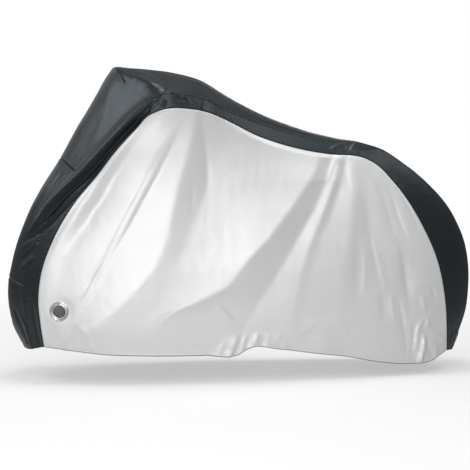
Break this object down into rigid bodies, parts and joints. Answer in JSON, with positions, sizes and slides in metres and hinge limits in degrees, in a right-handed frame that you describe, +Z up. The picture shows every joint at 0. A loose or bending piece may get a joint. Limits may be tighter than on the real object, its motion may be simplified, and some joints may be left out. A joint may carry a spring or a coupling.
{
  "type": "bicycle cover",
  "caption": "Fitted two-tone fabric cover for an upright bicycle, open along its hem, with a steel eyelet through each side panel for a lock.",
  "frame": {"origin": "on the centre plane, just under the top of the hood, where the covered bicycle's stem and handlebar hold the cloth up", "axes": "+X from the nose to the tail, +Y to the far side, +Z up"},
  "size_m": [1.7702, 0.6318, 1.1115],
  "materials": {
    "black_polyester": "satin coated polyester",
    "silver_polyester": "silver coated polyester with a soft sheen",
    "steel": "bright rolled steel"
  },
  "bodies": {
    "root": {"nose_lower": "black_polyester", "nose_upper": "black_polyester", "top_strip": "black_polyester", "front_gusset_near": "black_polyester", "front_gusset_far": "black_polyester", "rear_gusset_near": "black_polyester", "rear_gusset_far": "black_polyester", "side_panel_near": "silver_polyester", "side_panel_far": "silver_polyester", "eyelet_near": "steel", "eyelet_far": "steel", "eyelet_washer_near": "steel", "eyelet_washer_far": "steel"}
  },
  "joints": []
}
